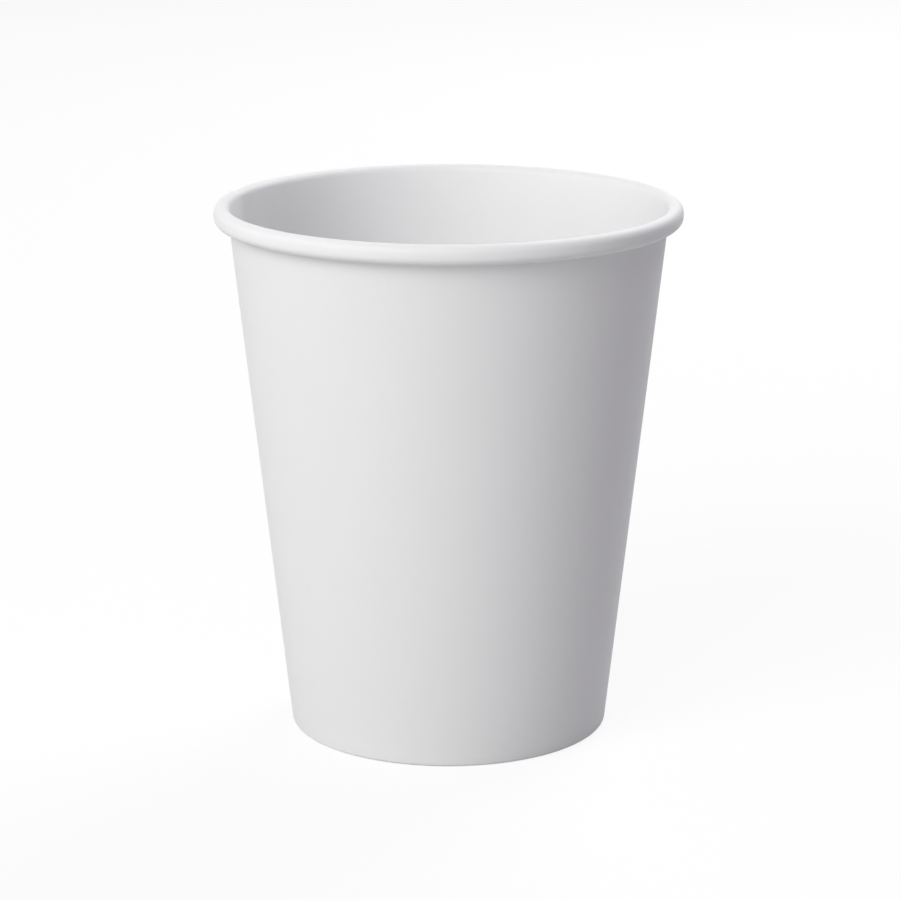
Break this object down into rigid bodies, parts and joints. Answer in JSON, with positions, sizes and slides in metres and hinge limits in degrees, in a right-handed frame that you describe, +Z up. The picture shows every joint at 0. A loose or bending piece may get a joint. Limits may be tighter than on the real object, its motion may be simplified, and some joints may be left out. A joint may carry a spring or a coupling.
{
  "type": "paper coffee cup",
  "caption": "Plain white single-wall paper cup with a rolled rim, a lapped side seam, a folded foot and a recessed base, for hot drinks.",
  "frame": {"origin": "on the cup's axis, at the surface that its foot stands on", "axes": "+Z up along the cup's axis; -Y to the picture's camera, which looks along +Y; the wall's lap seam is at the left, near -X"},
  "size_m": [0.08, 0.08, 0.092],
  "materials": {
    "wall_board": "matte white coated board",
    "base_board": "matte white coated board"
  },
  "bodies": {
    "root": {"side_wall": "wall_board", "base": "base_board"}
  },
  "joints": []
}
